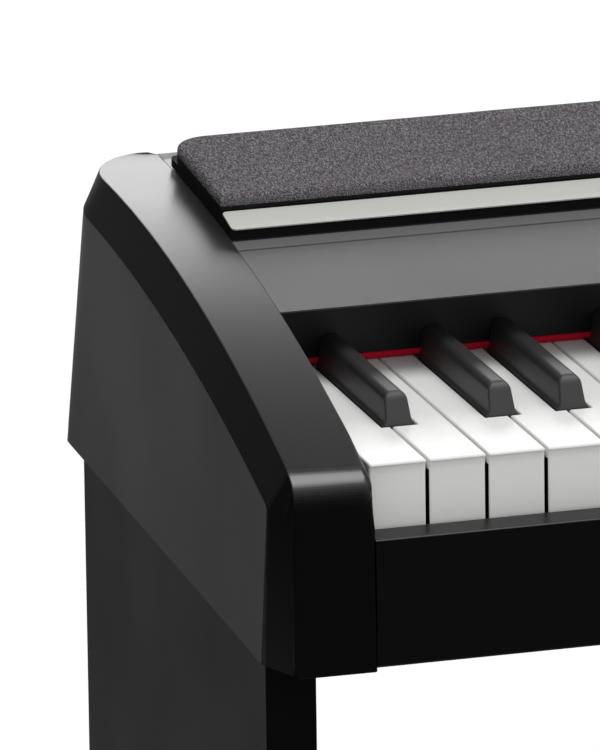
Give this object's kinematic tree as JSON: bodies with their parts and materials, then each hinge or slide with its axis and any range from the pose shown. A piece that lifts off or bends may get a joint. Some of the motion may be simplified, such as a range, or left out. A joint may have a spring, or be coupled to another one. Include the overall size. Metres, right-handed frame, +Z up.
{
  "type": "digital piano on stand",
  "caption": "Slab digital piano with sloped rounded end blocks, a full-size keyboard and a cloth-covered speaker bar, on a panel-leg wooden stand.",
  "frame": {"origin": "on the floor, under the middle of the whole instrument's box", "axes": "+X runs along the keyboard to the treble end, +Y away from the player, +Z up"},
  "size_m": [1.304, 0.36, 0.7811],
  "materials": {
    "satin_black": "satin moulded",
    "gloss_black": "gloss",
    "panel_grey": "satin",
    "silver": "fine brushed",
    "grille_cloth": "woven speaker cloth",
    "felt": "pressed felt",
    "key_white": "polished",
    "key_black": "satin",
    "steel": "zinc-plated",
    "circuit_board": "solder mask",
    "speaker_paper": "pressed paper",
    "wood": "black vinyl-wrapped board"
  },
  "bodies": {
    "cabinet": {"left_end_block": "satin_black", "right_end_block": "satin_black", "bottom_board": "wood", "front_rail": "gloss_black", "control_panel": "panel_grey", "fallboard": "gloss_black", "name_board_felt": "felt", "rear_deck": "panel_grey", "rear_panel": "satin_black", "speaker_bar": "satin_black", "silver_trim": "silver", "grille_cloth": "grille_cloth", "left_speaker": "speaker_paper", "right_speaker": "speaker_paper", "key_chassis": "steel", "key_stop_felt": "felt", "main_board": "circuit_board", "jack_plate": "satin_black", "headphone_box": "satin_black", "left_leg": "wood", "left_foot": "wood", "left_bracket": "steel", "right_leg": "wood", "right_foot": "wood", "right_bracket": "steel", "back_board": "wood"},
    "key_a0": {"key_a0": "key_white"},
    "key_as0": {"key_as0": "key_black"},
    "key_b0": {"key_b0": "key_white"},
    "key_c1": {"key_c1": "key_white"},
    "key_cs1": {"key_cs1": "key_black"},
    "key_d1": {"key_d1": "key_white"},
    "key_ds1": {"key_ds1": "key_black"},
    "key_e1": {"key_e1": "key_white"},
    "key_f1": {"key_f1": "key_white"},
    "key_fs1": {"key_fs1": "key_black"},
    "key_g1": {"key_g1": "key_white"},
    "key_gs1": {"key_gs1": "key_black"},
    "white_keys_a1_up": {"white_keys_a1_up": "key_white"},
    "black_keys_as1_up": {"black_keys_as1_up": "key_black"},
    "white_keys_a2_up": {"white_keys_a2_up": "key_white"},
    "black_keys_as2_up": {"black_keys_as2_up": "key_black"},
    "white_keys_a3_up": {"white_keys_a3_up": "key_white"},
    "black_keys_as3_up": {"black_keys_as3_up": "key_black"},
    "white_keys_a4_up": {"white_keys_a4_up": "key_white"},
    "black_keys_as4_up": {"black_keys_as4_up": "key_black"},
    "white_keys_a5_up": {"white_keys_a5_up": "key_white"},
    "black_keys_as5_up": {"black_keys_as5_up": "key_black"},
    "white_keys_a6_up": {"white_keys_a6_up": "key_white"},
    "black_keys_as6_up": {"black_keys_as6_up": "key_black"},
    "white_keys_a7_up": {"white_keys_a7_up": "key_white"},
    "black_keys_as7_up": {"black_keys_as7_up": "key_black"},
    "function_button_1": {"function_button_1": "satin_black"},
    "function_button_2": {"function_button_2": "satin_black"},
    "function_button_3": {"function_button_3": "satin_black"},
    "function_button_4": {"function_button_4": "satin_black"},
    "function_button_5": {"function_button_5": "satin_black"},
    "function_button_6": {"function_button_6": "satin_black"},
    "volume_knob": {"volume_knob": "satin_black"},
    "power_button": {"power_button": "satin_black"}
  },
  "joints": [
    {"name": "key_a0_press", "type": "hinge", "parent": "cabinet", "child": "key_a0", "pos_m": [-0.59925, 0.069, 0.712], "axis": [1, 0, 0], "range_deg": [0, 2.9], "stiffness_Nm_per_rad": 0.5, "springref_deg": -20.05},
    {"name": "key_as0_press", "type": "hinge", "parent": "cabinet", "child": "key_as0", "pos_m": [-0.58414, 0.089, 0.712], "axis": [1, 0, 0], "range_deg": [0, 3], "stiffness_Nm_per_rad": 0.4, "springref_deg": -20.05},
    {"name": "key_b0_press", "type": "hinge", "parent": "cabinet", "child": "key_b0", "pos_m": [-0.57575, 0.069, 0.712], "axis": [1, 0, 0], "range_deg": [0, 2.9], "stiffness_Nm_per_rad": 0.5, "springref_deg": -20.05},
    {"name": "key_c1_press", "type": "hinge", "parent": "cabinet", "child": "key_c1", "pos_m": [-0.55225, 0.069, 0.712], "axis": [1, 0, 0], "range_deg": [0, 2.9], "stiffness_Nm_per_rad": 0.5, "springref_deg": -20.05},
    {"name": "key_cs1_press", "type": "hinge", "parent": "cabinet", "child": "key_cs1", "pos_m": [-0.54285, 0.089, 0.712], "axis": [1, 0, 0], "range_deg": [0, 3], "stiffness_Nm_per_rad": 0.4, "springref_deg": -20.05},
    {"name": "key_d1_press", "type": "hinge", "parent": "cabinet", "child": "key_d1", "pos_m": [-0.52875, 0.069, 0.712], "axis": [1, 0, 0], "range_deg": [0, 2.9], "stiffness_Nm_per_rad": 0.5, "springref_deg": -20.05},
    {"name": "key_ds1_press", "type": "hinge", "parent": "cabinet", "child": "key_ds1", "pos_m": [-0.51465, 0.089, 0.712], "axis": [1, 0, 0], "range_deg": [0, 3], "stiffness_Nm_per_rad": 0.4, "springref_deg": -20.05},
    {"name": "key_e1_press", "type": "hinge", "parent": "cabinet", "child": "key_e1", "pos_m": [-0.50525, 0.069, 0.712], "axis": [1, 0, 0], "range_deg": [0, 2.9], "stiffness_Nm_per_rad": 0.5, "springref_deg": -20.05},
    {"name": "key_f1_press", "type": "hinge", "parent": "cabinet", "child": "key_f1", "pos_m": [-0.48175, 0.069, 0.712], "axis": [1, 0, 0], "range_deg": [0, 2.9], "stiffness_Nm_per_rad": 0.5, "springref_deg": -20.05},
    {"name": "key_fs1_press", "type": "hinge", "parent": "cabinet", "child": "key_fs1", "pos_m": [-0.47336, 0.089, 0.712], "axis": [1, 0, 0], "range_deg": [0, 3], "stiffness_Nm_per_rad": 0.4, "springref_deg": -20.05},
    {"name": "key_g1_press", "type": "hinge", "parent": "cabinet", "child": "key_g1", "pos_m": [-0.45825, 0.069, 0.712], "axis": [1, 0, 0], "range_deg": [0, 2.9], "stiffness_Nm_per_rad": 0.5, "springref_deg": -20.05},
    {"name": "key_gs1_press", "type": "hinge", "parent": "cabinet", "child": "key_gs1", "pos_m": [-0.4465, 0.089, 0.712], "axis": [1, 0, 0], "range_deg": [0, 3], "stiffness_Nm_per_rad": 0.4, "springref_deg": -20.05},
    {"name": "white_keys_a1_up_press", "type": "hinge", "parent": "cabinet", "child": "white_keys_a1_up", "pos_m": [-0.36425, 0.069, 0.712], "axis": [1, 0, 0], "range_deg": [0, 2.9], "stiffness_Nm_per_rad": 3.5, "springref_deg": -20.05},
    {"name": "black_keys_as1_up_press", "type": "hinge", "parent": "cabinet", "child": "black_keys_as1_up", "pos_m": [-0.35082, 0.089, 0.712], "axis": [1, 0, 0], "range_deg": [0, 3], "stiffness_Nm_per_rad": 2, "springref_deg": -20.05},
    {"name": "white_keys_a2_up_press", "type": "hinge", "parent": "cabinet", "child": "white_keys_a2_up", "pos_m": [-0.19975, 0.069, 0.712], "axis": [1, 0, 0], "range_deg": [0, 2.9], "stiffness_Nm_per_rad": 3.5, "springref_deg": -20.05},
    {"name": "black_keys_as2_up_press", "type": "hinge", "parent": "cabinet", "child": "black_keys_as2_up", "pos_m": [-0.18632, 0.089, 0.712], "axis": [1, 0, 0], "range_deg": [0, 3], "stiffness_Nm_per_rad": 2, "springref_deg": -20.05},
    {"name": "white_keys_a3_up_press", "type": "hinge", "parent": "cabinet", "child": "white_keys_a3_up", "pos_m": [-0.03525, 0.069, 0.712], "axis": [1, 0, 0], "range_deg": [0, 2.9], "stiffness_Nm_per_rad": 3.5, "springref_deg": -20.05},
    {"name": "black_keys_as3_up_press", "type": "hinge", "parent": "cabinet", "child": "black_keys_as3_up", "pos_m": [-0.02182, 0.089, 0.712], "axis": [1, 0, 0], "range_deg": [0, 3], "stiffness_Nm_per_rad": 2, "springref_deg": -20.05},
    {"name": "white_keys_a4_up_press", "type": "hinge", "parent": "cabinet", "child": "white_keys_a4_up", "pos_m": [0.12925, 0.069, 0.712], "axis": [1, 0, 0], "range_deg": [0, 2.9], "stiffness_Nm_per_rad": 3.5, "springref_deg": -20.05},
    {"name": "black_keys_as4_up_press", "type": "hinge", "parent": "cabinet", "child": "black_keys_as4_up", "pos_m": [0.14268, 0.089, 0.712], "axis": [1, 0, 0], "range_deg": [0, 3], "stiffness_Nm_per_rad": 2, "springref_deg": -20.05},
    {"name": "white_keys_a5_up_press", "type": "hinge", "parent": "cabinet", "child": "white_keys_a5_up", "pos_m": [0.29375, 0.069, 0.712], "axis": [1, 0, 0], "range_deg": [0, 2.9], "stiffness_Nm_per_rad": 3.5, "springref_deg": -20.05},
    {"name": "black_keys_as5_up_press", "type": "hinge", "parent": "cabinet", "child": "black_keys_as5_up", "pos_m": [0.30718, 0.089, 0.712], "axis": [1, 0, 0], "range_deg": [0, 3], "stiffness_Nm_per_rad": 2, "springref_deg": -20.05},
    {"name": "white_keys_a6_up_press", "type": "hinge", "parent": "cabinet", "child": "white_keys_a6_up", "pos_m": [0.45825, 0.069, 0.712], "axis": [1, 0, 0], "range_deg": [0, 2.9], "stiffness_Nm_per_rad": 3.5, "springref_deg": -20.05},
    {"name": "black_keys_as6_up_press", "type": "hinge", "parent": "cabinet", "child": "black_keys_as6_up", "pos_m": [0.47168, 0.089, 0.712], "axis": [1, 0, 0], "range_deg": [0, 3], "stiffness_Nm_per_rad": 2, "springref_deg": -20.05},
    {"name": "white_keys_a7_up_press", "type": "hinge", "parent": "cabinet", "child": "white_keys_a7_up", "pos_m": [0.57575, 0.069, 0.712], "axis": [1, 0, 0], "range_deg": [0, 2.9], "stiffness_Nm_per_rad": 1.5, "springref_deg": -20.05},
    {"name": "black_keys_as7_up_press", "type": "hinge", "parent": "cabinet", "child": "black_keys_as7_up", "pos_m": [0.56736, 0.089, 0.712], "axis": [1, 0, 0], "range_deg": [0, 3], "stiffness_Nm_per_rad": 0.4, "springref_deg": -20.05},
    {"name": "function_button_1_press", "type": "slide", "parent": "cabinet", "child": "function_button_1", "axis": [0, 0.155, -0.9879], "range_m": [0, 0.0012], "stiffness_N_per_m": 400, "springref_m": -0.002},
    {"name": "function_button_2_press", "type": "slide", "parent": "cabinet", "child": "function_button_2", "axis": [0, 0.155, -0.9879], "range_m": [0, 0.0012], "stiffness_N_per_m": 400, "springref_m": -0.002},
    {"name": "function_button_3_press", "type": "slide", "parent": "cabinet", "child": "function_button_3", "axis": [0, 0.155, -0.9879], "range_m": [0, 0.0012], "stiffness_N_per_m": 400, "springref_m": -0.002},
    {"name": "function_button_4_press", "type": "slide", "parent": "cabinet", "child": "function_button_4", "axis": [0, 0.155, -0.9879], "range_m": [0, 0.0012], "stiffness_N_per_m": 400, "springref_m": -0.002},
    {"name": "function_button_5_press", "type": "slide", "parent": "cabinet", "child": "function_button_5", "axis": [0, 0.155, -0.9879], "range_m": [0, 0.0012], "stiffness_N_per_m": 400, "springref_m": -0.002},
    {"name": "function_button_6_press", "type": "slide", "parent": "cabinet", "child": "function_button_6", "axis": [0, 0.155, -0.9879], "range_m": [0, 0.0012], "stiffness_N_per_m": 400, "springref_m": -0.002},
    {"name": "volume_turn", "type": "hinge", "parent": "cabinet", "child": "volume_knob", "pos_m": [-0.33, 0.026, 0.75772], "axis": [0, -0.155, 0.9879], "range_deg": [-140, 140]},
    {"name": "power_press", "type": "slide", "parent": "cabinet", "child": "power_button", "axis": [0, 0.155, -0.9879], "range_m": [0, 0.0015], "stiffness_N_per_m": 400, "springref_m": -0.002}
  ]
}
